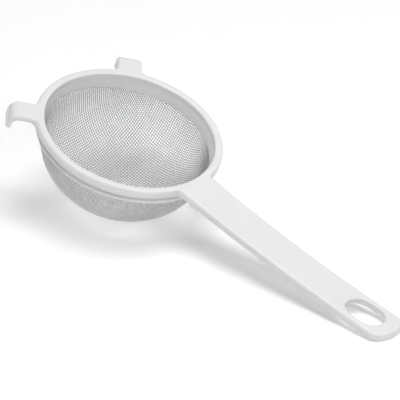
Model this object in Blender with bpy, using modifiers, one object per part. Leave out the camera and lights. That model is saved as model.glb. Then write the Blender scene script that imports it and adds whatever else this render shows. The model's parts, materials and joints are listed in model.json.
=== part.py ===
"""Small hand strainer: a one-piece moulded frame (rim, handle and two rest hooks),
a clamp ring and a formed bowl of woven mesh.

The strainer is drawn about its bowl: the bowl's axis is Z, the rim's top face is
Z = 0 and the handle points along +X. An empty then lays it down as it rests on a
table, on its bowl and the end of its handle, with +Z up.
"""

import math

import bmesh
import bpy
from mathutils import Vector

# ---------------------------------------------------------------- dimensions (m)
RIM_RADIUS = 0.0500
PLATE_THICKNESS = 0.0034
EDGE_ROUND = 0.0015
EDGE_DEPTH = 0.0026
RIM_BORE = 0.0454
BORE_ROUND = 0.0009

SKIRT_BOTTOM = -0.0091
SKIRT_WALL = 0.0008
BEAD_RADIUS = 0.0012
BEAD_REACH = 0.0485
BEAD_START = math.radians(85)
SEAT_DEPTH = 0.0004
WALL_SLOPE = 0.20

RING_WALL = 0.00075
RING_BOTTOM = -0.0088
MESH_THICKNESS = 0.00055
ASSEMBLY_GAP = 0.0003

BOWL_TOP_RADIUS = 0.0449
BOWL_SHOULDER = -0.0086
BOWL_BOTTOM = -0.0458
BOWL_POWER = 2.12
BLEND_START = -0.0092
BLEND_END = -0.0180

HANDLE_TIP = 0.1863
HANDLE_WAIST = 0.0114
HANDLE_FLARE = 0.0004
HANDLE_END = 0.0074
HANDLE_RISE = 0.0221
HANDLE_FILLET = 0.0022
HANDLE_STATIONS = 14
HANDLE_END_STEPS = 8

SLOT_CENTRE = 0.1666
SLOT_LENGTH = 0.0219
SLOT_WIDTH = 0.0152
SLOT_ROUND = 0.0006
SLOT_END_STEPS = 12

HOOK_ANGLES = (math.radians(135), math.radians(-135))
HOOK_HALF_WIDTH = 0.0068
HOOK_THICKNESS = 0.0027
HOOK_STEP_FROM = 0.0502
HOOK_STEP_TO = 0.0520
HOOK_FILLET = 0.0040
HOOK_BEND_AT = 0.0581
HOOK_BEND_RADIUS = 0.0060
HOOK_BEND_ANGLE = math.radians(87)
HOOK_LIP = 0.0041
HOOK_CORNER = 0.0024

TURN_STEPS = 72
ARC_STEPS = 5
BOWL_STEPS = 13
WELD_DISTANCE = 1e-6
SPLIT_DISTANCE = 1e-7
SMOOTH_ANGLE = math.radians(35)

TILT_RANGE = (math.radians(5), math.radians(40))
TILT_HALVINGS = 40
REST_SAMPLES = 400

# The clamp from the inside out: ring, gap, mesh, gap, skirt.
MESH_INSIDE = RING_WALL + ASSEMBLY_GAP
MESH_OUTSIDE = MESH_INSIDE + MESH_THICKNESS
SKIRT_INSIDE = MESH_OUTSIDE + ASSEMBLY_GAP
SKIRT_OUTSIDE = SKIRT_INSIDE + SKIRT_WALL
CLAMP_TOP = -PLATE_THICKNESS - SEAT_DEPTH

WHITE = (0.86, 0.86, 0.86, 1)
MESH_WHITE = (0.74, 0.75, 0.75, 1)


# --------------------------------------------------------------------- the scene
def clear_scene():
    for thing in list(bpy.data.objects):
        bpy.data.objects.remove(thing)


def new_collection(name):
    group = bpy.data.collections.new(name)
    bpy.context.scene.collection.children.link(group)
    return group


def plastic(name, colour, roughness):
    material = bpy.data.materials.new(name)
    material.use_nodes = True
    shader = material.node_tree.nodes["Principled BSDF"]
    shader.inputs["Base Color"].default_value = colour
    shader.inputs["Roughness"].default_value = roughness
    shader.inputs["Metallic"].default_value = 0.0
    return material


def add_object(name, data, collection):
    thing = bpy.data.objects.new(name, data)
    collection.objects.link(thing)
    return thing


def evaluated_mesh(thing):
    """The mesh that an object's modifiers give, with coincident vertices welded."""
    bpy.context.view_layer.update()
    graph = bpy.context.evaluated_depsgraph_get()
    mesh = bpy.data.meshes.new_from_object(thing.evaluated_get(graph))
    work = bmesh.new()
    work.from_mesh(mesh)
    bmesh.ops.remove_doubles(work, verts=work.verts, dist=WELD_DISTANCE)
    work.to_mesh(mesh)
    work.free()
    return mesh


def turned(name, profile, collection):
    """A solid of revolution about Z from (radius, height) points."""
    mesh = bpy.data.meshes.new(name)
    work = bmesh.new()
    corners = [work.verts.new((radius, 0, height)) for radius, height in profile]
    for first, second in zip(corners, corners[1:]):
        work.edges.new((first, second))
    if profile[0][0] > 0:
        work.edges.new((corners[-1], corners[0]))
    work.to_mesh(mesh)
    work.free()
    thing = add_object(name, mesh, collection)
    screw = thing.modifiers.new("Turn", "SCREW")
    screw.axis = "Z"
    screw.steps = screw.render_steps = TURN_STEPS
    screw.use_merge_vertices = True
    screw.merge_threshold = WELD_DISTANCE
    screw.use_smooth_shade = True
    return thing


def boolean(thing, other, operation):
    modifier = thing.modifiers.new(operation.title(), "BOOLEAN")
    modifier.operation = operation
    modifier.solver = "EXACT"
    modifier.object = other


def shade_smooth(mesh):
    mesh.shade_smooth()
    mesh.set_sharp_from_angle(angle=SMOOTH_ANGLE)


# ------------------------------------------------------------------ the outlines
def arc(centre, radius, start, end, steps):
    """Points along an arc, both ends included."""
    angles = [start + (end - start) * i / steps for i in range(steps + 1)]
    return [
        (centre[0] + radius * math.cos(a), centre[1] + radius * math.sin(a))
        for a in angles
    ]


def rotated(points, angle):
    cosine, sine = math.cos(angle), math.sin(angle)
    return [(x * cosine - y * sine, x * sine + y * cosine) for x, y in points]


def root_fillet(half_width, fillet):
    """Centre of the fillet between the rim's circle and a tongue's upper side."""
    height = half_width + fillet
    return math.sqrt((RIM_RADIUS + fillet) ** 2 - height**2), height


def tongue(half_width, fillet, upper_edge):
    """A tongue along +X from the rim's circle round its end and back.

    upper_edge runs from the fillet to the last point above the middle line."""
    centre = root_fillet(half_width, fillet)
    on_rim = math.atan2(centre[1], centre[0])
    root = arc(centre, fillet, on_rim - math.pi, -math.pi / 2, ARC_STEPS)
    upper = root + upper_edge
    lower = [(x, -y) for x, y in upper]
    return on_rim, lower + upper[::-1]


def handle_half_width(x):
    """Slightly waisted: narrowest halfway along."""
    middle = (RIM_RADIUS + HANDLE_TIP) / 2
    return HANDLE_WAIST + HANDLE_FLARE * ((x - middle) / (HANDLE_TIP - middle)) ** 2


def handle_rise(x):
    """Height of the handle's top face: a parabola that leaves the rim level."""
    beyond = max(0.0, (x - RIM_RADIUS) / RIM_RADIUS)
    return HANDLE_RISE * RIM_RADIUS * beyond**2


def handle_stations():
    start = root_fillet(handle_half_width(RIM_RADIUS), HANDLE_FILLET)[0]
    end = HANDLE_TIP - HANDLE_END
    return [
        start + (end - start) * i / HANDLE_STATIONS
        for i in range(HANDLE_STATIONS + 1)
    ]


def handle_outline():
    """Sides, then a half ellipse round the end."""
    stations = handle_stations()
    sides = [(x, handle_half_width(x)) for x in stations[1:]]
    last = stations[-1]
    turns = [math.pi / 2 * i / HANDLE_END_STEPS for i in range(1, HANDLE_END_STEPS)]
    end = [
        (last + HANDLE_END * math.sin(a), handle_half_width(last) * math.cos(a))
        for a in turns
    ]
    end.append((HANDLE_TIP, 0.0))
    return tongue(handle_half_width(stations[0]), HANDLE_FILLET, sides + end)


def hook_lengths():
    """Where the flat blank starts to bend, where the bend ends and where it ends."""
    bend_end = HOOK_BEND_AT + HOOK_BEND_RADIUS * HOOK_BEND_ANGLE
    return HOOK_BEND_AT, bend_end, bend_end + HOOK_LIP


def hook_stations():
    start, bend_end, _ = hook_lengths()
    bend = [start + (bend_end - start) * i / ARC_STEPS for i in range(ARC_STEPS + 1)]
    return [HOOK_STEP_FROM, HOOK_STEP_TO, *bend]


def hook_outline():
    end = hook_lengths()[2]
    sides = [(x, HOOK_HALF_WIDTH) for x in hook_stations() if x >= HOOK_BEND_AT]
    corner = (end - HOOK_CORNER, HOOK_HALF_WIDTH - HOOK_CORNER)
    corner_arc = arc(corner, HOOK_CORNER, math.pi / 2, 0, ARC_STEPS)
    return tongue(HOOK_HALF_WIDTH, HOOK_FILLET, sides + corner_arc)


def plate_outline():
    """The whole flat blank: handle, rim and hooks, anticlockwise."""
    parts = [(0.0, *handle_outline())]
    hook_reach, hook = hook_outline()
    for angle in HOOK_ANGLES:
        parts.append((angle % (2 * math.pi), hook_reach, hook))
    parts.sort(key=lambda part: part[0])
    points = []
    for number, (angle, reach, outline) in enumerate(parts):
        points += rotated(outline, angle)
        following = parts[(number + 1) % len(parts)]
        start = angle + reach
        end = following[0] - following[1] + (0 if following[0] else 2 * math.pi)
        steps = round((end - start) / (2 * math.pi / TURN_STEPS))
        points += arc((0, 0), RIM_RADIUS, start, end, steps)[1:-1]
    return points


def slot_outline(spread):
    """A slot with round ends, grown by a margin all round."""
    radius = SLOT_WIDTH / 2 + spread
    straight = (SLOT_LENGTH - SLOT_WIDTH) / 2
    ends = []
    for side, start in ((1, math.pi / 2), (-1, -math.pi / 2)):
        centre = (SLOT_CENTRE + side * straight, 0)
        ends += arc(centre, radius, start, start - math.pi, SLOT_END_STEPS)
    return ends


# --------------------------------------------------------------------- the frame
def flat_blank(collection):
    """The plate as an extruded outline, its top face at Z = 0.

    Its upper edges are rounded, deeper than they are wide. It is drawn too thick by
    one rounding, and the lower rounded edge is cut away, which leaves the sharp edge
    of a moulding."""
    full_thickness = PLATE_THICKNESS + EDGE_ROUND
    curve = bpy.data.curves.new("blank", "CURVE")
    curve.dimensions = "2D"
    curve.fill_mode = "BOTH"
    curve.extrude = full_thickness / 2 - EDGE_ROUND
    curve.bevel_depth = EDGE_ROUND
    curve.bevel_resolution = 1
    curve.offset = -EDGE_ROUND
    outline = plate_outline()
    spline = curve.splines.new("POLY")
    spline.points.add(len(outline) - 1)
    for point, (x, y) in zip(spline.points, outline):
        point.co = (x, y, 0, 1)
    spline.use_cyclic_u = True
    guide = add_object("blank", curve, collection)
    guide.location.z = -full_thickness / 2
    mesh = evaluated_mesh(guide)
    mesh.transform(guide.matrix_world)
    bpy.data.objects.remove(guide)
    work = bmesh.new()
    work.from_mesh(mesh)
    cut = bmesh.ops.bisect_plane(
        work,
        geom=[*work.verts, *work.edges, *work.faces],
        plane_co=(0, 0, -PLATE_THICKNESS),
        plane_no=(0, 0, -1),
        clear_outer=True,
    )
    rim = [edge for edge in cut["geom_cut"] if isinstance(edge, bmesh.types.BMEdge)]
    bmesh.ops.triangle_fill(work, edges=rim, use_beauty=True, normal=(0, 0, -1))
    side = (PLATE_THICKNESS - EDGE_DEPTH) / (PLATE_THICKNESS - EDGE_ROUND)
    for vert in work.verts:
        below_round = min(0.0, vert.co.z + EDGE_ROUND)
        in_round = vert.co.z - below_round
        vert.co.z = in_round * EDGE_DEPTH / EDGE_ROUND + below_round * side
    work.to_mesh(mesh)
    work.free()
    return mesh


def slot_cutter(collection):
    """A prism through the plate, flared at the top to round the slot's edge."""
    round_edge = arc((SLOT_ROUND, -SLOT_ROUND), SLOT_ROUND, math.pi, math.pi / 2, ARC_STEPS)
    below = (0, -2 * PLATE_THICKNESS)
    above = (SLOT_ROUND, PLATE_THICKNESS)
    work = bmesh.new()
    rings = []
    for spread, height in [below, *round_edge, above]:
        outline = slot_outline(spread)
        rings.append([work.verts.new((x, y, height)) for x, y in outline])
    for lower, upper in zip(rings, rings[1:]):
        for i, corner in enumerate(lower):
            work.faces.new((lower[i - 1], corner, upper[i], upper[i - 1]))
    work.faces.new(rings[0])
    work.faces.new(rings[-1])
    bmesh.ops.recalc_face_normals(work, faces=work.faces)
    mesh = bpy.data.meshes.new("slot_cutter")
    work.to_mesh(mesh)
    work.free()
    return add_object("slot_cutter", mesh, collection)


def slotted(mesh, collection):
    """The plate's mesh with the slot cut through it."""
    plate = add_object("plate", mesh, collection)
    cutter = slot_cutter(collection)
    boolean(plate, cutter, "DIFFERENCE")
    cut_mesh = evaluated_mesh(plate)
    bpy.data.objects.remove(plate)
    bpy.data.objects.remove(cutter)
    return cut_mesh


def split_across(work, angle, stations):
    """Adds an edge loop across the tongue at each station, so that it can bend."""
    along = Vector((math.cos(angle), math.sin(angle), 0))
    past_the_rim = RIM_RADIUS + EDGE_ROUND
    for station in stations:
        faces = [
            face
            for face in work.faces
            if max(v.co.dot(along) for v in face.verts) > past_the_rim
        ]
        edges = {edge for face in faces for edge in face.edges}
        verts = {vert for face in faces for vert in face.verts}
        bmesh.ops.bisect_plane(
            work,
            geom=[*faces, *edges, *verts],
            dist=SPLIT_DISTANCE,
            plane_co=along * station,
            plane_no=along,
        )


def bend_hook(work, angle):
    """Thins the hook, and bends its end down round the hook's inner corner."""
    along = Vector((math.cos(angle), math.sin(angle), 0))
    across = Vector((-along.y, along.x, 0))
    start, bend_end, _ = hook_lengths()
    for vert in work.verts:
        reach = vert.co.dot(along)
        if reach <= HOOK_STEP_FROM or abs(vert.co.dot(across)) > RIM_RADIUS / 2:
            continue
        step = min(1.0, (reach - HOOK_STEP_FROM) / (HOOK_STEP_TO - HOOK_STEP_FROM))
        vert.co.z *= 1 - step * (1 - HOOK_THICKNESS / PLATE_THICKNESS)
        if reach <= start:
            continue
        turn = min(1.0, (reach - start) / (bend_end - start)) * HOOK_BEND_ANGLE
        straight = max(0.0, reach - bend_end)
        radius = HOOK_BEND_RADIUS + vert.co.z
        new_reach = start + radius * math.sin(turn) + straight * math.cos(turn)
        drop = radius * math.cos(turn) - straight * math.sin(turn)
        vert.co += along * (new_reach - reach)
        vert.co.z = drop - HOOK_BEND_RADIUS


def formed_plate(collection):
    """The blank with its handle curved upwards and its hooks bent down."""
    mesh = slotted(flat_blank(collection), collection)
    work = bmesh.new()
    work.from_mesh(mesh)
    split_across(work, 0.0, handle_stations()[1:])
    for angle in HOOK_ANGLES:
        split_across(work, angle, hook_stations())
        bend_hook(work, angle)
    for vert in work.verts:
        vert.co.z += handle_rise(vert.co.x)
    bmesh.ops.recalc_face_normals(work, faces=work.faces)
    work.to_mesh(mesh)
    work.free()
    return mesh


def band_radius(height, offset):
    """Radius of the inner band's face, or of a face parallel to it, at a height."""
    return RIM_BORE + offset + WALL_SLOPE * (height + PLATE_THICKNESS)


def skirt_profile():
    """The skirt's outside as a solid plug, with a round bead at its lower edge."""
    top = -PLATE_THICKNESS / 2
    bead_centre = (BEAD_REACH - BEAD_RADIUS, SKIRT_BOTTOM + BEAD_RADIUS)
    bead = arc(bead_centre, BEAD_RADIUS, BEAD_START, -math.pi / 2, ARC_STEPS)
    upper = [(0, top), (band_radius(top, SKIRT_OUTSIDE), top)]
    return upper + bead + [(0, SKIRT_BOTTOM)]


def bore_profile():
    """What is cut from the plug: the bore, and the seat for the ring and mesh."""
    above = PLATE_THICKNESS
    seat = CLAMP_TOP + ASSEMBLY_GAP
    below = SKIRT_BOTTOM - PLATE_THICKNESS / 2
    lip_centre = (RIM_BORE + BORE_ROUND, -BORE_ROUND)
    lip = arc(lip_centre, BORE_ROUND, math.pi / 2, math.pi, ARC_STEPS)
    return [
        (0, above),
        (RIM_BORE + BORE_ROUND, above),
        *lip,
        (RIM_BORE, seat),
        (band_radius(seat, SKIRT_INSIDE), seat),
        (band_radius(below, SKIRT_INSIDE), below),
        (0, below),
    ]


def build_frame(collection, cutters, material):
    frame = add_object("frame", formed_plate(cutters), collection)
    frame.data.materials.append(material)
    plug = turned("skirt_plug", skirt_profile(), cutters)
    bore = turned("bore_cutter", bore_profile(), cutters)
    boolean(frame, plug, "UNION")
    boolean(frame, bore, "DIFFERENCE")
    return frame


# ------------------------------------------------------- the ring and the bowl
def ring_profile():
    """A thin band with a rounded lower edge, its inside face flush with the bore."""
    radius = RING_WALL / 2
    centre = (band_radius(RING_BOTTOM, radius), RING_BOTTOM + radius)
    lower_edge = arc(centre, radius, 0, -math.pi, ARC_STEPS)
    outer_corner = (band_radius(CLAMP_TOP, RING_WALL), CLAMP_TOP)
    inner_corner = (band_radius(CLAMP_TOP, 0), CLAMP_TOP)
    return [outer_corner, *lower_edge, inner_corner]


def bowl_radius(height, inset):
    """The bowl's radius: straight in the clamp, then a superellipse."""
    in_clamp = band_radius(height, MESH_OUTSIDE - inset)
    depth = BOWL_SHOULDER - BOWL_BOTTOM - inset
    share = min(1.0, max(0.0, (BOWL_SHOULDER - height) / depth))
    in_bowl = (BOWL_TOP_RADIUS - inset) * (1 - share**BOWL_POWER) ** (1 / BOWL_POWER)
    blend = min(1.0, max(0.0, (BLEND_START - height) / (BLEND_START - BLEND_END)))
    blend = blend * blend * (3 - 2 * blend)
    return in_clamp * (1 - blend) + in_bowl * blend


def bowl_side(inset, steps):
    """One face of the mesh from its top edge down to the axis."""
    bottom = BOWL_BOTTOM + inset
    depth = CLAMP_TOP - bottom
    turns = [math.pi / 2 * i / steps for i in range(steps)]
    heights = [CLAMP_TOP - depth * math.sin(turn) for turn in turns]
    return [(bowl_radius(height, inset), height) for height in heights] + [(0, bottom)]


def bowl_profile():
    outside = bowl_side(0, BOWL_STEPS)
    inside = bowl_side(MESH_THICKNESS, BOWL_STEPS)
    return inside[::-1] + outside


def build_turned_part(name, profile, collection, material):
    """A turned part, kept as a plain mesh with its materials."""
    guide = turned(name, profile, collection)
    mesh = evaluated_mesh(guide)
    bpy.data.objects.remove(guide)
    part = add_object(name, mesh, collection)
    mesh.materials.append(material)
    return part


# ------------------------------------------------------------------ how it rests
def rest_tilt():
    """The tilt about Y at which the bowl and the handle's end share one floor."""
    bowl = bowl_side(0, REST_SAMPLES)
    step = (HANDLE_TIP - RIM_RADIUS) / REST_SAMPLES
    stations = [RIM_RADIUS + step * i for i in range(REST_SAMPLES + 1)]
    tail = [(x, handle_rise(x) - PLATE_THICKNESS) for x in stations]

    def lowest(points, tilt):
        return min(z * math.cos(tilt) - x * math.sin(tilt) for x, z in points)

    low, high = TILT_RANGE
    for _ in range(TILT_HALVINGS):
        middle = (low + high) / 2
        if lowest(bowl, middle) < lowest(tail, middle):
            low = middle
        else:
            high = middle
    return (low + high) / 2


def lay_down(parts, cutters, collection):
    """Parents all to an empty that tilts them and centres the parts' footprint."""
    stand = add_object("rest_pose", None, collection)
    stand.rotation_euler = (0, rest_tilt(), 0)
    for thing in [*parts, *cutters]:
        thing.parent = stand
    bpy.context.view_layer.update()
    graph = bpy.context.evaluated_depsgraph_get()
    corners = []
    for part in parts:
        mesh = part.evaluated_get(graph).data
        corners += [part.matrix_world @ vert.co for vert in mesh.vertices]
    low_x = min(corner.x for corner in corners)
    high_x = max(corner.x for corner in corners)
    low_z = min(corner.z for corner in corners)
    stand.location = (-(low_x + high_x) / 2, 0, -low_z)


def main():
    clear_scene()
    collection = new_collection("strainer")
    cutters = new_collection("cutters")
    white = plastic("white_plastic", WHITE, 0.35)
    woven = plastic("woven_nylon", MESH_WHITE, 0.5)
    parts = [
        build_frame(collection, cutters, white),
        build_turned_part("clamp_ring", ring_profile(), collection, white),
        build_turned_part("mesh_bowl", bowl_profile(), collection, woven),
    ]
    for cutter in cutters.objects:
        cutter.hide_render = True
        cutter.display_type = "WIRE"
    for part in parts:
        shade_smooth(part.data)
    lay_down(parts, cutters.objects, collection)


main()
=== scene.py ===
import json
import math

import bmesh
import bpy
import numpy as np
from mathutils import Matrix, Vector


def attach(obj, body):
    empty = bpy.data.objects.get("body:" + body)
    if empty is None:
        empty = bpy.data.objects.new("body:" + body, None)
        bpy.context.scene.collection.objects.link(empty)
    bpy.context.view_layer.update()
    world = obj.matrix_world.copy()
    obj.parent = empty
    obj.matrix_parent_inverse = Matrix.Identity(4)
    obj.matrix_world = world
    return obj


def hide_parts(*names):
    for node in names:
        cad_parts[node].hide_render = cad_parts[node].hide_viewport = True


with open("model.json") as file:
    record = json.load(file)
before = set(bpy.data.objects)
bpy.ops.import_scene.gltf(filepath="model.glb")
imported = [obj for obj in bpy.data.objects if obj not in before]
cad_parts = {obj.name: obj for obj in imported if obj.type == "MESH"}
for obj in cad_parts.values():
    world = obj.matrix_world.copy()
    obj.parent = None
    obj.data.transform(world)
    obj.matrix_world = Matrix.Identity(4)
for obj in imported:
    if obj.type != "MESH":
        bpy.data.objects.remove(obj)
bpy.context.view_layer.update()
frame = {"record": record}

# The strainer is drawn about its bowl, as in the design: the bowl's axis is Z, the
# rim's top face is Z = 0 and the handle points along +X. STAND, read from the frame,
# then lays each piece down as the strainer rests.

# ---------------------------------------------------------------- dimensions (m)
RIM_RADIUS = 0.0500
PLATE_THICKNESS = 0.0034
EDGE_ROUND = 0.0015
EDGE_DEPTH = 0.0026
EDGE_STEPS = 4
RIM_BORE = 0.0454
BORE_ROUND = 0.0009

SKIRT_BOTTOM = -0.0091
SKIRT_WALL = 0.0008
BEAD_RADIUS = 0.0012
BEAD_REACH = 0.0485
BEAD_START = math.radians(85)
SEAT_DEPTH = 0.0004
WALL_SLOPE = 0.20

RING_WALL = 0.00075
RING_BOTTOM = -0.0088
MESH_THICKNESS = 0.00055
ASSEMBLY_GAP = 0.0003
SEAT_CLEARANCE = 0.00003

BOWL_TOP_RADIUS = 0.0449
BOWL_SHOULDER = -0.0086
BOWL_BOTTOM = -0.0458
BOWL_POWER = 2.12
BLEND_START = -0.0092
BLEND_END = -0.0180

HANDLE_TIP = 0.1863
HANDLE_WAIST = 0.0114
HANDLE_FLARE = 0.0004
HANDLE_END = 0.0074
HANDLE_RISE = 0.0221
HANDLE_FILLET = 0.0022
HANDLE_STATIONS = 56
HANDLE_END_STEPS = 24

SLOT_CENTRE = 0.1666
SLOT_LENGTH = 0.0219
SLOT_WIDTH = 0.0152
SLOT_ROUND = 0.0006
SLOT_END_STEPS = 32

HOOK_ANGLES = (math.radians(135), math.radians(-135))
HOOK_HALF_WIDTH = 0.0068
HOOK_THICKNESS = 0.0027
HOOK_STEP_FROM = 0.0502
HOOK_STEP_TO = 0.0520
HOOK_FILLET = 0.0040
HOOK_REACH = 0.0549
HOOK_BEND_AT = 0.0581
HOOK_BEND_RADIUS = 0.0060
HOOK_BEND_ANGLE = math.radians(87)
HOOK_LIP = 0.0041
HOOK_CORNER = 0.0024

TURN_STEPS = 240
ARC_STEPS = 12
WELD_DISTANCE = 1e-6
SLIVER_WIDTH = 0.00003
SPLIT_DISTANCE = 1e-7
SMOOTH_ANGLE = math.radians(40)

# The clamp from the inside out: ring, gap, mesh, gap, skirt.
MESH_INSIDE = RING_WALL + ASSEMBLY_GAP
MESH_OUTSIDE = MESH_INSIDE + MESH_THICKNESS
SKIRT_INSIDE = MESH_OUTSIDE + ASSEMBLY_GAP
SKIRT_OUTSIDE = SKIRT_INSIDE + SKIRT_WALL
CLAMP_TOP = -PLATE_THICKNESS - SEAT_DEPTH

# The cloth: threads at one spacing, pulled down into the bowl from its bottom.
THREAD_SPACING = 0.00132
THREAD_RADIUS = 0.00018
CLOTH_TURN = math.radians(3)
CLOTH_EDGE = CLAMP_TOP - 0.0004
NET_MARGIN = 6
NEWTON_STEPS = 6
MERIDIAN_SAMPLES = 600

# ------------------------------------------------------------ the view (m, radians)
CAMERA_AZIMUTH = math.radians(32.327)
CAMERA_ELEVATION = math.radians(38.034)
CAMERA_ROLL = math.radians(18.357)
CAMERA_DISTANCE = 1.656
CAMERA_LENS = 288.0
AIM_RIGHT = 0.03598
AIM_DOWN = 0.03668

# Each softbox: its name, place, diameter and power in watts.
SOFTBOXES = (
    ("overhead", (0.0, 0.0, 1.6), 1.2, 18.0),
    ("front", (0.0, -1.2, 0.75), 0.9, 3.2),
    ("back", (0.0, 1.3, 1.2), 0.9, 4.2),
    ("right", (1.3, 0.0, 1.2), 0.9, 8.4),
    ("left", (-1.3, 0.0, 1.2), 0.9, 0.9),
)
WORLD_LIGHT = 0.03
FLOOR_GLOW = 0.18
FLOOR_GREY = 0.86
FLOOR_HALF_SIZE = 6.0

# ------------------------------------------------------ tones (0 black to 1 white)
# Each pair is the darkest and the palest tone of a slightly uneven surface. The
# plastic and the cloth have two pairs each, for faces turned towards the bowl's
# middle and for the others: painted light makes the plastic's inward faces paler,
# and painted shade and painted light make the cloth darker on its inner face and
# paler on its outer face. They are matched to how the strainer looks, and are not
# known properties of its materials.
PLASTIC_GREYS = (0.79, 0.81)
# painted light: paler tones for the plastic's faces turned to the rim's centre
PAINTED_LIGHT_BORE_GREYS = (0.94, 0.96)
# painted shade on the cloth's inner face, painted light on its outer face
CLOTH_PAINTED_SHADE_GREYS = (0.34, 0.40)
CLOTH_PAINTED_LIGHT_GREYS = (0.60, 0.68)

# Cosines, between a face and the way out from the middle, that the painted light
# and shade change over.
PAINTED_LIGHT_BORE_FACING = (-0.9, -0.5)
CLOTH_PAINTED_LIGHT_FACING = (-0.5, 0.3)


# ------------------------------------------------------------------- the stand
def read_stand():
    """The strainer's own axes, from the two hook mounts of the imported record."""
    mounts = {mount["name"]: mount for mount in frame["record"]["mounts"]}
    left = mounts["hook_rest_left"]
    right = mounts["hook_rest_right"]
    up = -Vector(left["axis"]).normalized()
    across = Vector((0, 1, 0))
    along = across.cross(up)
    middle = (Vector(left["pos_m"]) + Vector(right["pos_m"])) / 2
    behind = -HOOK_REACH * math.cos(HOOK_ANGLES[0])
    centre = middle + along * behind + up * HOOK_THICKNESS
    turned = Matrix((along, across, up)).transposed()
    return Matrix.Translation(centre) @ turned.to_4x4()


STAND = read_stand()


# ------------------------------------------------------------------ small tools
def add_object(name, data):
    thing = bpy.data.objects.new(name, data)
    bpy.context.scene.collection.objects.link(thing)
    return thing


def evaluated_mesh(thing):
    """The mesh that an object's modifiers give, with coincident vertices welded."""
    bpy.context.view_layer.update()
    graph = bpy.context.evaluated_depsgraph_get()
    mesh = bpy.data.meshes.new_from_object(thing.evaluated_get(graph))
    work = bmesh.new()
    work.from_mesh(mesh)
    bmesh.ops.remove_doubles(work, verts=work.verts, dist=WELD_DISTANCE)
    work.to_mesh(mesh)
    work.free()
    return mesh


def take_mesh(thing):
    """Applies an object's modifiers and removes the object."""
    mesh = evaluated_mesh(thing)
    bpy.data.objects.remove(thing)
    return mesh


def turned(name, profile):
    """A solid of revolution about Z from (radius, height) points."""
    mesh = bpy.data.meshes.new(name)
    work = bmesh.new()
    corners = [work.verts.new((radius, 0, height)) for radius, height in profile]
    for first, second in zip(corners, corners[1:]):
        work.edges.new((first, second))
    if profile[0][0] > 0:
        work.edges.new((corners[-1], corners[0]))
    work.to_mesh(mesh)
    work.free()
    thing = add_object(name, mesh)
    screw = thing.modifiers.new("Turn", "SCREW")
    screw.axis = "Z"
    screw.steps = screw.render_steps = TURN_STEPS
    screw.use_merge_vertices = True
    screw.merge_threshold = WELD_DISTANCE
    return thing


def boolean(thing, other, operation):
    modifier = thing.modifiers.new(operation.title(), "BOOLEAN")
    modifier.operation = operation
    modifier.solver = "EXACT"
    modifier.object = other


def finished_piece(name, mesh, material):
    """A piece laid down on the stand, smooth, with its material and body."""
    mesh.transform(STAND)
    mesh.shade_smooth()
    mesh.set_sharp_from_angle(angle=SMOOTH_ANGLE)
    mesh.materials.clear()
    mesh.materials.append(material)
    piece = add_object(name, mesh)
    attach(piece, "root")
    return piece


# ------------------------------------------------------------------ the outlines
def arc(centre, radius, start, end, steps):
    """Points along an arc, both ends included."""
    angles = [start + (end - start) * i / steps for i in range(steps + 1)]
    return [
        (centre[0] + radius * math.cos(a), centre[1] + radius * math.sin(a))
        for a in angles
    ]


def rotated(points, angle):
    cosine, sine = math.cos(angle), math.sin(angle)
    return [(x * cosine - y * sine, x * sine + y * cosine) for x, y in points]


def root_fillet(half_width, fillet):
    """Centre of the fillet between the rim's circle and a tongue's upper side."""
    height = half_width + fillet
    return math.sqrt((RIM_RADIUS + fillet) ** 2 - height**2), height


def tongue(half_width, fillet, upper_edge):
    """A tongue along +X from the rim's circle round its end and back."""
    centre = root_fillet(half_width, fillet)
    on_rim = math.atan2(centre[1], centre[0])
    root = arc(centre, fillet, on_rim - math.pi, -math.pi / 2, ARC_STEPS)
    upper = root + upper_edge
    lower = [(x, -y) for x, y in upper]
    return on_rim, lower + upper[::-1]


def handle_half_width(x):
    """Slightly waisted: narrowest halfway along."""
    middle = (RIM_RADIUS + HANDLE_TIP) / 2
    return HANDLE_WAIST + HANDLE_FLARE * ((x - middle) / (HANDLE_TIP - middle)) ** 2


def handle_rise(x):
    """Height of the handle's top face: a parabola that leaves the rim level."""
    beyond = max(0.0, (x - RIM_RADIUS) / RIM_RADIUS)
    return HANDLE_RISE * RIM_RADIUS * beyond**2


def handle_stations():
    start = root_fillet(handle_half_width(RIM_RADIUS), HANDLE_FILLET)[0]
    end = HANDLE_TIP - HANDLE_END
    step = (end - start) / HANDLE_STATIONS
    return [start + step * i for i in range(HANDLE_STATIONS + 1)]


def handle_outline():
    """Sides, then a half ellipse round the end."""
    stations = handle_stations()
    sides = [(x, handle_half_width(x)) for x in stations[1:]]
    last = stations[-1]
    turns = [math.pi / 2 * i / HANDLE_END_STEPS for i in range(1, HANDLE_END_STEPS)]
    end = [
        (last + HANDLE_END * math.sin(a), handle_half_width(last) * math.cos(a))
        for a in turns
    ]
    end.append((HANDLE_TIP, 0.0))
    return tongue(handle_half_width(stations[0]), HANDLE_FILLET, sides + end)


def hook_lengths():
    """Where the flat blank starts to bend, where the bend ends and where it ends."""
    bend_end = HOOK_BEND_AT + HOOK_BEND_RADIUS * HOOK_BEND_ANGLE
    return HOOK_BEND_AT, bend_end, bend_end + HOOK_LIP


def hook_stations():
    start, bend_end, _ = hook_lengths()
    bend = [start + (bend_end - start) * i / ARC_STEPS for i in range(ARC_STEPS + 1)]
    return [HOOK_STEP_FROM, HOOK_STEP_TO, *bend]


def hook_outline():
    end = hook_lengths()[2]
    sides = [(x, HOOK_HALF_WIDTH) for x in hook_stations() if x >= HOOK_BEND_AT]
    corner = (end - HOOK_CORNER, HOOK_HALF_WIDTH - HOOK_CORNER)
    corner_arc = arc(corner, HOOK_CORNER, math.pi / 2, 0, ARC_STEPS)
    return tongue(HOOK_HALF_WIDTH, HOOK_FILLET, sides + corner_arc)


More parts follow.
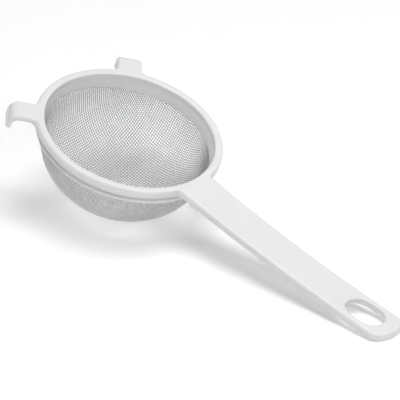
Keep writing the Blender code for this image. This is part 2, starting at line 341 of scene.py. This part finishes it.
def plate_outline():
    """The whole flat blank: handle, rim and hooks, anticlockwise."""
    parts = [(0.0, *handle_outline())]
    hook_reach, hook = hook_outline()
    for angle in HOOK_ANGLES:
        parts.append((angle % (2 * math.pi), hook_reach, hook))
    parts.sort(key=lambda part: part[0])
    points = []
    for number, (angle, reach, outline) in enumerate(parts):
        points += rotated(outline, angle)
        following = parts[(number + 1) % len(parts)]
        start = angle + reach
        end = following[0] - following[1] + (0 if following[0] else 2 * math.pi)
        steps = round((end - start) / (2 * math.pi / TURN_STEPS))
        points += arc((0, 0), RIM_RADIUS, start, end, steps)[1:-1]
    return points


def slot_outline(spread):
    """A slot with round ends, grown by a margin all round."""
    radius = SLOT_WIDTH / 2 + spread
    straight = (SLOT_LENGTH - SLOT_WIDTH) / 2
    ends = []
    for side, start in ((1, math.pi / 2), (-1, -math.pi / 2)):
        centre = (SLOT_CENTRE + side * straight, 0)
        ends += arc(centre, radius, start, start - math.pi, SLOT_END_STEPS)
    return ends


# --------------------------------------------------------------------- the frame
def flat_blank():
    """The plate as an extruded outline, its top face at Z = 0.

    Its upper edges are rounded, deeper than they are wide. It is drawn too thick by
    one rounding, and the lower rounded edge is cut away, which leaves the sharp edge
    of a moulding."""
    full_thickness = PLATE_THICKNESS + EDGE_ROUND
    curve = bpy.data.curves.new("blank", "CURVE")
    curve.dimensions = "2D"
    curve.fill_mode = "BOTH"
    curve.extrude = full_thickness / 2 - EDGE_ROUND
    curve.bevel_depth = EDGE_ROUND
    curve.bevel_resolution = EDGE_STEPS
    curve.offset = -EDGE_ROUND
    outline = plate_outline()
    spline = curve.splines.new("POLY")
    spline.points.add(len(outline) - 1)
    for point, (x, y) in zip(spline.points, outline):
        point.co = (x, y, 0, 1)
    spline.use_cyclic_u = True
    mesh = take_mesh(add_object("blank", curve))
    mesh.transform(Matrix.Translation((0, 0, -full_thickness / 2)))
    work = bmesh.new()
    work.from_mesh(mesh)
    cut = bmesh.ops.bisect_plane(
        work,
        geom=[*work.verts, *work.edges, *work.faces],
        plane_co=(0, 0, -PLATE_THICKNESS),
        plane_no=(0, 0, -1),
        clear_outer=True,
    )
    rim = [edge for edge in cut["geom_cut"] if isinstance(edge, bmesh.types.BMEdge)]
    bmesh.ops.triangle_fill(work, edges=rim, use_beauty=True, normal=(0, 0, -1))
    side = (PLATE_THICKNESS - EDGE_DEPTH) / (PLATE_THICKNESS - EDGE_ROUND)
    for vert in work.verts:
        below_round = min(0.0, vert.co.z + EDGE_ROUND)
        in_round = vert.co.z - below_round
        vert.co.z = in_round * EDGE_DEPTH / EDGE_ROUND + below_round * side
    work.to_mesh(mesh)
    work.free()
    return mesh


def slot_cutter():
    """A prism through the plate, flared at the top to round the slot's edge."""
    round_edge = arc((SLOT_ROUND, -SLOT_ROUND), SLOT_ROUND, math.pi, math.pi / 2, ARC_STEPS)
    below = (0, -2 * PLATE_THICKNESS)
    above = (SLOT_ROUND, PLATE_THICKNESS)
    work = bmesh.new()
    rings = []
    for spread, height in [below, *round_edge, above]:
        outline = slot_outline(spread)
        rings.append([work.verts.new((x, y, height)) for x, y in outline])
    for lower, upper in zip(rings, rings[1:]):
        for i, corner in enumerate(lower):
            work.faces.new((lower[i - 1], corner, upper[i], upper[i - 1]))
    work.faces.new(rings[0])
    work.faces.new(rings[-1])
    bmesh.ops.recalc_face_normals(work, faces=work.faces)
    mesh = bpy.data.meshes.new("slot_cutter")
    work.to_mesh(mesh)
    work.free()
    return add_object("slot_cutter", mesh)


def slotted(mesh):
    """The plate's mesh with the slot cut through it."""
    plate = add_object("plate", mesh)
    cutter = slot_cutter()
    boolean(plate, cutter, "DIFFERENCE")
    cut_mesh = evaluated_mesh(plate)
    bpy.data.objects.remove(plate)
    bpy.data.objects.remove(cutter)
    return cut_mesh


def split_across(work, angle, stations):
    """Adds an edge loop across the tongue at each station, so that it can bend."""
    along = Vector((math.cos(angle), math.sin(angle), 0))
    past_the_rim = RIM_RADIUS + EDGE_ROUND
    for station in stations:
        faces = [
            face
            for face in work.faces
            if max(v.co.dot(along) for v in face.verts) > past_the_rim
        ]
        edges = {edge for face in faces for edge in face.edges}
        verts = {vert for face in faces for vert in face.verts}
        bmesh.ops.bisect_plane(
            work,
            geom=[*faces, *edges, *verts],
            dist=SPLIT_DISTANCE,
            plane_co=along * station,
            plane_no=along,
        )


def bend_hook(work, angle):
    """Thins the hook, and bends its end down round the hook's inner corner."""
    along = Vector((math.cos(angle), math.sin(angle), 0))
    across = Vector((-along.y, along.x, 0))
    start, bend_end, _ = hook_lengths()
    for vert in work.verts:
        reach = vert.co.dot(along)
        if reach <= HOOK_STEP_FROM or abs(vert.co.dot(across)) > RIM_RADIUS / 2:
            continue
        step = min(1.0, (reach - HOOK_STEP_FROM) / (HOOK_STEP_TO - HOOK_STEP_FROM))
        vert.co.z *= 1 - step * (1 - HOOK_THICKNESS / PLATE_THICKNESS)
        if reach <= start:
            continue
        turn = min(1.0, (reach - start) / (bend_end - start)) * HOOK_BEND_ANGLE
        straight = max(0.0, reach - bend_end)
        radius = HOOK_BEND_RADIUS + vert.co.z
        new_reach = start + radius * math.sin(turn) + straight * math.cos(turn)
        drop = radius * math.cos(turn) - straight * math.sin(turn)
        vert.co += along * (new_reach - reach)
        vert.co.z = drop - HOOK_BEND_RADIUS


def formed_plate():
    """The blank with its handle curved upwards and its hooks bent down."""
    mesh = slotted(flat_blank())
    work = bmesh.new()
    work.from_mesh(mesh)
    split_across(work, 0.0, handle_stations()[1:])
    for angle in HOOK_ANGLES:
        split_across(work, angle, hook_stations())
        bend_hook(work, angle)
    for vert in work.verts:
        vert.co.z += handle_rise(vert.co.x)
    bmesh.ops.remove_doubles(work, verts=work.verts, dist=SLIVER_WIDTH)
    bmesh.ops.recalc_face_normals(work, faces=work.faces)
    work.to_mesh(mesh)
    work.free()
    return mesh


def band_radius(height, offset):
    """Radius of the inner band's face, or of a face parallel to it, at a height."""
    return RIM_BORE + offset + WALL_SLOPE * (height + PLATE_THICKNESS)


def skirt_profile():
    """The skirt's outside as a solid plug, with a round bead at its lower edge."""
    top = -PLATE_THICKNESS / 2
    bead_centre = (BEAD_REACH - BEAD_RADIUS, SKIRT_BOTTOM + BEAD_RADIUS)
    bead = arc(bead_centre, BEAD_RADIUS, BEAD_START, -math.pi / 2, ARC_STEPS)
    upper = [(0, top), (band_radius(top, SKIRT_OUTSIDE), top)]
    return upper + bead + [(0, SKIRT_BOTTOM)]


def bore_profile():
    """What is cut from the plug: the bore, and the seat for the ring and mesh."""
    above = PLATE_THICKNESS
    seat = CLAMP_TOP + ASSEMBLY_GAP
    below = SKIRT_BOTTOM - PLATE_THICKNESS / 2
    lip_centre = (RIM_BORE + BORE_ROUND, -BORE_ROUND)
    lip = arc(lip_centre, BORE_ROUND, math.pi / 2, math.pi, ARC_STEPS)
    return [
        (0, above),
        (RIM_BORE + BORE_ROUND, above),
        *lip,
        (RIM_BORE, seat),
        (band_radius(seat, SKIRT_INSIDE), seat),
        (band_radius(below, SKIRT_INSIDE), below),
        (0, below),
    ]


def build_frame(material):
    guide = add_object("frame_guide", formed_plate())
    plug = turned("skirt_plug", skirt_profile())
    bore = turned("bore_cutter", bore_profile())
    boolean(guide, plug, "UNION")
    boolean(guide, bore, "DIFFERENCE")
    mesh = take_mesh(guide)
    for cutter in (plug, bore):
        bpy.data.objects.remove(cutter)
    piece = finished_piece("strainer_frame", mesh, material)
    normals = piece.modifiers.new("Normals", "WEIGHTED_NORMAL")
    normals.keep_sharp = True
    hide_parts("frame")
    return piece


# ------------------------------------------------------------------ the ring
def ring_profile():
    """A thin band with a rounded lower edge, its inside face flush with the bore."""
    top = CLAMP_TOP + ASSEMBLY_GAP - SEAT_CLEARANCE
    radius = RING_WALL / 2
    centre = (band_radius(RING_BOTTOM, radius), RING_BOTTOM + radius)
    lower_edge = arc(centre, radius, 0, -math.pi, ARC_STEPS)
    outer_corner = (band_radius(top, RING_WALL), top)
    inner_corner = (band_radius(top, 0), top)
    return [outer_corner, *lower_edge, inner_corner]


def build_ring(material):
    mesh = take_mesh(turned("ring_guide", ring_profile()))
    piece = finished_piece("strainer_clamp_ring", mesh, material)
    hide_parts("clamp_ring")
    return piece


# ------------------------------------------------------------------ the cloth
def cloth_radius(height):
    """Radius of the cloth's middle surface: straight in the clamp, then a
    superellipse, as the bowl is."""
    inset = MESH_THICKNESS / 2
    in_clamp = band_radius(height, MESH_OUTSIDE - inset)
    depth = BOWL_SHOULDER - BOWL_BOTTOM - inset
    share = np.clip((BOWL_SHOULDER - height) / depth, 0.0, 1.0)
    in_bowl = (BOWL_TOP_RADIUS - inset) * (1 - share**BOWL_POWER) ** (1 / BOWL_POWER)
    blend = np.clip((BLEND_START - height) / (BLEND_START - BLEND_END), 0.0, 1.0)
    blend = blend * blend * (3 - 2 * blend)
    return in_clamp * (1 - blend) + in_bowl * blend


class Meridian:
    """The cloth's profile by its arc length from the bowl's bottom."""

    def __init__(self):
        bottom = BOWL_BOTTOM + MESH_THICKNESS / 2
        turns = np.linspace(0, math.pi / 2, MERIDIAN_SAMPLES)
        depth = BOWL_SHOULDER - bottom
        lower = BOWL_SHOULDER - depth * np.cos(turns) ** (2 / BOWL_POWER)
        upper = np.linspace(BOWL_SHOULDER, -2 * BOWL_SHOULDER, MERIDIAN_SAMPLES)
        self.height = np.concatenate([lower, upper[1:]])
        self.radius = cloth_radius(self.height)
        steps = np.hypot(np.diff(self.radius), np.diff(self.height))
        self.length = np.concatenate([[0.0], np.cumsum(steps)])
        self.slope_r = np.gradient(self.radius, self.length)
        self.slope_z = np.gradient(self.height, self.length)

    def points(self, flat):
        """Points in space of flat coordinates: distance and bearing from the bottom."""
        reach = np.hypot(flat[..., 0], flat[..., 1])
        bearing = flat / np.maximum(reach, WELD_DISTANCE)[..., None]
        radius = np.interp(reach, self.length, self.radius)
        height = np.interp(reach, self.length, self.height)
        return np.concatenate([bearing * radius[..., None], height[..., None]], axis=-1)

    def normals(self, flat):
        reach = np.hypot(flat[..., 0], flat[..., 1])
        bearing = flat / np.maximum(reach, WELD_DISTANCE)[..., None]
        outward = np.interp(reach, self.length, self.slope_z)
        down = -np.interp(reach, self.length, self.slope_r)
        return np.concatenate([bearing * outward[..., None], down[..., None]], axis=-1)


def next_crossings(bowl, first, second, guess):
    """Points of the bowl one thread spacing from both neighbours, by Newton's method."""
    here = guess
    probe = THREAD_SPACING / 1000
    for _ in range(NEWTON_STEPS):
        misses = crossing_misses(bowl, here, first, second)
        by_u = (crossing_misses(bowl, here + (probe, 0), first, second) - misses) / probe
        by_v = (crossing_misses(bowl, here + (0, probe), first, second) - misses) / probe
        scale = by_u[:, 0] * by_v[:, 1] - by_v[:, 0] * by_u[:, 1]
        step_u = (misses[:, 0] * by_v[:, 1] - misses[:, 1] * by_v[:, 0]) / scale
        step_v = (misses[:, 1] * by_u[:, 0] - misses[:, 0] * by_u[:, 1]) / scale
        here = here - np.stack([step_u, step_v], axis=-1)
    return here


def crossing_misses(bowl, here, first, second):
    point = bowl.points(here)
    to_first = np.linalg.norm(point - bowl.points(first), axis=-1)
    to_second = np.linalg.norm(point - bowl.points(second), axis=-1)
    return np.stack([to_first, to_second], axis=-1) - THREAD_SPACING


def cloth_quarter(bowl, count, along, across):
    """Flat coordinates of one quarter of the cloth's crossings, from the bottom out."""
    net = np.full((count + 1, count + 1, 2), np.nan)
    reach = THREAD_SPACING * np.arange(count + 1)[:, None]
    net[:, 0] = reach * along
    net[0, :] = reach * across
    limit = bowl.length[-1]
    for total in range(2, 2 * count + 1):
        rows = np.arange(max(1, total - count), min(count, total - 1) + 1)
        columns = total - rows
        first = net[rows - 1, columns]
        second = net[rows, columns - 1]
        guess = first + second - net[rows - 1, columns - 1]
        inside = np.hypot(guess[:, 0], guess[:, 1]) < limit
        rows, columns = rows[inside], columns[inside]
        if len(rows):
            net[rows, columns] = next_crossings(
                bowl, first[inside], second[inside], guess[inside]
            )
    return net


def cloth_net(bowl):
    """All crossings: four quarters about the two threads that cross at the bottom."""
    edge = np.interp(CLOTH_EDGE, bowl.height, bowl.length)
    count = math.ceil(edge / THREAD_SPACING) + NET_MARGIN
    net = np.full((2 * count + 1, 2 * count + 1, 2), np.nan)
    along = np.array([math.cos(CLOTH_TURN), math.sin(CLOTH_TURN)])
    across = np.array([-math.sin(CLOTH_TURN), math.cos(CLOTH_TURN)])
    for side_i in (1, -1):
        for side_j in (1, -1):
            quarter = cloth_quarter(bowl, count, side_i * along, side_j * across)
            rows = count + side_i * np.arange(count + 1)
            columns = count + side_j * np.arange(count + 1)
            net[np.ix_(rows, columns)] = quarter
    return net, edge


def thread_runs(row, edge):
    """The stretches of a thread whose crossings lie within the cloth's edge."""
    reach = np.hypot(row[:, 0], row[:, 1])
    inside = np.nan_to_num(reach, nan=2 * edge) <= edge
    runs = []
    start = None
    for number, kept in enumerate([*inside, False]):
        if kept and start is None:
            start = number
        elif not kept and start is not None:
            if number - start > 1:
                runs.append((start, number))
            start = None
    return runs


def thread_points(bowl, row, start, end, phase):
    """A thread's route over and under: a point at each crossing and one between."""
    knots = row[start:end]
    flat = np.empty((2 * len(knots) - 1, 2))
    flat[::2] = knots
    flat[1::2] = (knots[1:] + knots[:-1]) / 2
    wave = np.zeros(len(flat))
    wave[::2] = [1 - 2 * ((phase + number) % 2) for number in range(start, end)]
    lift = bowl.normals(flat) * (wave * THREAD_RADIUS)[:, None]
    return bowl.points(flat) + lift


def build_threads(name, bowl, net, edge, over, material):
    """One set of parallel threads, as a bevelled curve turned into a mesh."""
    curve = bpy.data.curves.new(name, "CURVE")
    curve.dimensions = "3D"
    curve.bevel_depth = THREAD_RADIUS
    curve.bevel_resolution = 1
    curve.use_fill_caps = True
    for number, row in enumerate(net):
        for start, end in thread_runs(row, edge):
            points = thread_points(bowl, row, start, end, number + over)
            spline = curve.splines.new("POLY")
            spline.points.add(len(points) - 1)
            rows = np.concatenate([points, np.ones((len(points), 1))], axis=1)
            spline.points.foreach_set("co", rows.ravel())
    mesh = take_mesh(add_object(name + "_guide", curve))
    piece = finished_piece(name, mesh, material)
    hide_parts("mesh_bowl")
    return piece


def build_cloth(material):
    bowl = Meridian()
    net, edge = cloth_net(bowl)
    warp = build_threads("mesh_warp", bowl, net, edge, 0, material)
    weft_net = np.swapaxes(net, 0, 1)
    weft = build_threads("mesh_weft", bowl, weft_net, edge, 1, material)
    return warp, weft


# ------------------------------------------------------------------ materials
def new_material(name):
    material = bpy.data.materials.new(name)
    material.use_nodes = True
    tree = material.node_tree
    return material, tree, tree.nodes["Principled BSDF"]


def grey(level):
    return (level, level, level, 1)


def noise(tree, coordinates, scale, detail):
    node = tree.nodes.new("ShaderNodeTexNoise")
    node.inputs["Scale"].default_value = scale
    node.inputs["Detail"].default_value = detail
    tree.links.new(coordinates.outputs["Object"], node.inputs["Vector"])
    return node


def ramp(tree, source, greys):
    """Turns a 0 to 1 value into a grey between two."""
    low, high = greys
    node = tree.nodes.new("ShaderNodeValToRGB")
    node.color_ramp.elements[0].position = 0.3
    node.color_ramp.elements[0].color = grey(low)
    node.color_ramp.elements[1].position = 0.7
    node.color_ramp.elements[1].color = grey(high)
    tree.links.new(source, node.inputs["Fac"])
    return node


def span(tree, source, low, high):
    """Turns a 0 to 1 value into a number between two."""
    node = tree.nodes.new("ShaderNodeMapRange")
    node.inputs["To Min"].default_value = low
    node.inputs["To Max"].default_value = high
    tree.links.new(source, node.inputs["Value"])
    return node


def bump(tree, source, strength, distance):
    node = tree.nodes.new("ShaderNodeBump")
    node.inputs["Strength"].default_value = strength
    node.inputs["Distance"].default_value = distance
    tree.links.new(source, node.inputs["Height"])
    return node


def painted_light_share(tree, coordinates, cosines):
    """1 where a surface faces away from the rim's centre, 0 where it faces it: the
    mask of the painted light and shade.

    It changes while the cosine between the normal and the way out from the centre
    goes from the first value to the second."""
    centre = tree.nodes.new("ShaderNodeVectorMath")
    centre.operation = "SUBTRACT"
    centre.inputs[1].default_value = STAND.translation
    tree.links.new(coordinates.outputs["Object"], centre.inputs[0])
    outward = tree.nodes.new("ShaderNodeVectorMath")
    outward.operation = "NORMALIZE"
    tree.links.new(centre.outputs["Vector"], outward.inputs[0])
    facing = tree.nodes.new("ShaderNodeVectorMath")
    facing.operation = "DOT_PRODUCT"
    tree.links.new(outward.outputs["Vector"], facing.inputs[0])
    tree.links.new(coordinates.outputs["Normal"], facing.inputs[1])
    share = span(tree, facing.outputs["Value"], 0.0, 1.0)
    share.inputs["From Min"].default_value = cosines[0]
    share.inputs["From Max"].default_value = cosines[1]
    return share


def painted_light_mix(tree, share, inner, outer):
    """A colour that goes from one to the other with a share: the painted light and shade.
    """
    mix = tree.nodes.new("ShaderNodeMixRGB")
    tree.links.new(share.outputs["Result"], mix.inputs["Fac"])
    tree.links.new(inner.outputs["Color"], mix.inputs["Color1"])
    tree.links.new(outer.outputs["Color"], mix.inputs["Color2"])
    return mix


def white_plastic():
    """Moulded polypropylene: satin, with a faint flow and a fine orange peel, and
    with painted light: the paler pair of tones on faces turned to the rim's centre."""
    material, tree, shader = new_material("moulded_polypropylene")
    coordinates = tree.nodes.new("ShaderNodeTexCoord")
    flow = noise(tree, coordinates, 28.0, 2.0)
    peel = noise(tree, coordinates, 1400.0, 3.0)
    others = ramp(tree, flow.outputs["Fac"], PLASTIC_GREYS)
    # painted light: the paler tones on faces turned to the rim's centre
    bore = ramp(tree, flow.outputs["Fac"], PAINTED_LIGHT_BORE_GREYS)
    share = painted_light_share(tree, coordinates, PAINTED_LIGHT_BORE_FACING)
    colour = painted_light_mix(tree, share, bore, others)
    relief = bump(tree, peel.outputs["Fac"], 0.12, 0.00004)
    tree.links.new(colour.outputs["Color"], shader.inputs["Base Color"])
    tree.links.new(relief.outputs["Normal"], shader.inputs["Normal"])
    shader.inputs["Roughness"].default_value = 0.25
    shader.inputs["IOR"].default_value = 1.49
    return material


def nylon_thread():
    """Nylon monofilament: slightly uneven along the threads, with painted light and
    shade: the paler pair of tones on the cloth's outer face, the darker on its inner."""
    material, tree, shader = new_material("nylon_monofilament")
    coordinates = tree.nodes.new("ShaderNodeTexCoord")
    patches = noise(tree, coordinates, 90.0, 2.0)
    streaks = noise(tree, coordinates, 2500.0, 2.0)
    # painted shade on the cloth's inner face, painted light on its outer face
    inner = ramp(tree, patches.outputs["Fac"], CLOTH_PAINTED_SHADE_GREYS)
    outer = ramp(tree, patches.outputs["Fac"], CLOTH_PAINTED_LIGHT_GREYS)
    share = painted_light_share(tree, coordinates, CLOTH_PAINTED_LIGHT_FACING)
    colour = painted_light_mix(tree, share, inner, outer)
    rough = span(tree, streaks.outputs["Fac"], 0.28, 0.45)
    relief = bump(tree, streaks.outputs["Fac"], 0.2, 0.00001)
    tree.links.new(colour.outputs["Color"], shader.inputs["Base Color"])
    tree.links.new(rough.outputs["Result"], shader.inputs["Roughness"])
    tree.links.new(relief.outputs["Normal"], shader.inputs["Normal"])
    shader.inputs["IOR"].default_value = 1.53
    shader.inputs["Subsurface Weight"].default_value = 1.0
    shader.inputs["Subsurface Radius"].default_value = (1.0, 1.0, 1.0)
    shader.inputs["Subsurface Scale"].default_value = 0.0004
    return material


# ------------------------------------------------------------------ the studio
def build_floor():
    mesh = bpy.data.meshes.new("floor")
    work = bmesh.new()
    bmesh.ops.create_grid(work, x_segments=1, y_segments=1, size=FLOOR_HALF_SIZE)
    work.to_mesh(mesh)
    work.free()
    material, _, shader = new_material("pale_floor")
    shader.inputs["Base Color"].default_value = grey(FLOOR_GREY)
    shader.inputs["Roughness"].default_value = 0.9
    shader.inputs["Specular IOR Level"].default_value = 0.1
    shader.inputs["Emission Color"].default_value = (1, 1, 1, 1)
    shader.inputs["Emission Strength"].default_value = FLOOR_GLOW
    mesh.materials.append(material)
    floor = add_object("floor", mesh)


def build_world():
    """A faint even light from all round; the softboxes and the floor do the rest."""
    world = bpy.data.worlds.new("studio")
    world.use_nodes = True
    background = world.node_tree.nodes["Background"]
    background.inputs["Color"].default_value = (1, 1, 1, 1)
    background.inputs["Strength"].default_value = WORLD_LIGHT
    bpy.context.scene.world = world


def add_softbox(name, position, target, size, power):
    light = bpy.data.lights.new(name, "AREA")
    light.shape = "DISK"
    light.size = size
    light.energy = power
    lamp = add_object(name, light)
    lamp.location = position
    aim = Vector(target) - Vector(position)
    lamp.rotation_euler = aim.to_track_quat("-Z", "Y").to_euler()


def build_camera():
    azimuth, elevation, roll = CAMERA_AZIMUTH, CAMERA_ELEVATION, CAMERA_ROLL
    back = Vector((
        math.sin(azimuth) * math.cos(elevation),
        -math.cos(azimuth) * math.cos(elevation),
        math.sin(elevation),
    ))
    level = Vector((math.cos(azimuth), math.sin(azimuth), 0))
    upright = back.cross(level)
    right = math.cos(roll) * level + math.sin(roll) * upright
    up = math.cos(roll) * upright - math.sin(roll) * level
    place = right * AIM_RIGHT - up * AIM_DOWN + back * CAMERA_DISTANCE
    axes = Matrix((right, up, back)).transposed().to_4x4()
    data = bpy.data.cameras.new("camera")
    data.lens = CAMERA_LENS
    data.sensor_width = 36.0
    data.clip_end = 20.0
    camera = add_object("camera", data)
    camera.matrix_world = STAND @ Matrix.Translation(place) @ axes
    bpy.context.scene.camera = camera


def build_studio():
    build_floor()
    build_world()
    build_camera()
    for name, position, size, power in SOFTBOXES:
        add_softbox(name, position, (0, 0, 0), size, power)
    bpy.context.scene.view_settings.view_transform = "Standard"


def main():
    build_studio()
    plastic = white_plastic()
    nylon = nylon_thread()
    build_frame(plastic)
    build_ring(plastic)
    build_cloth(nylon)


main()
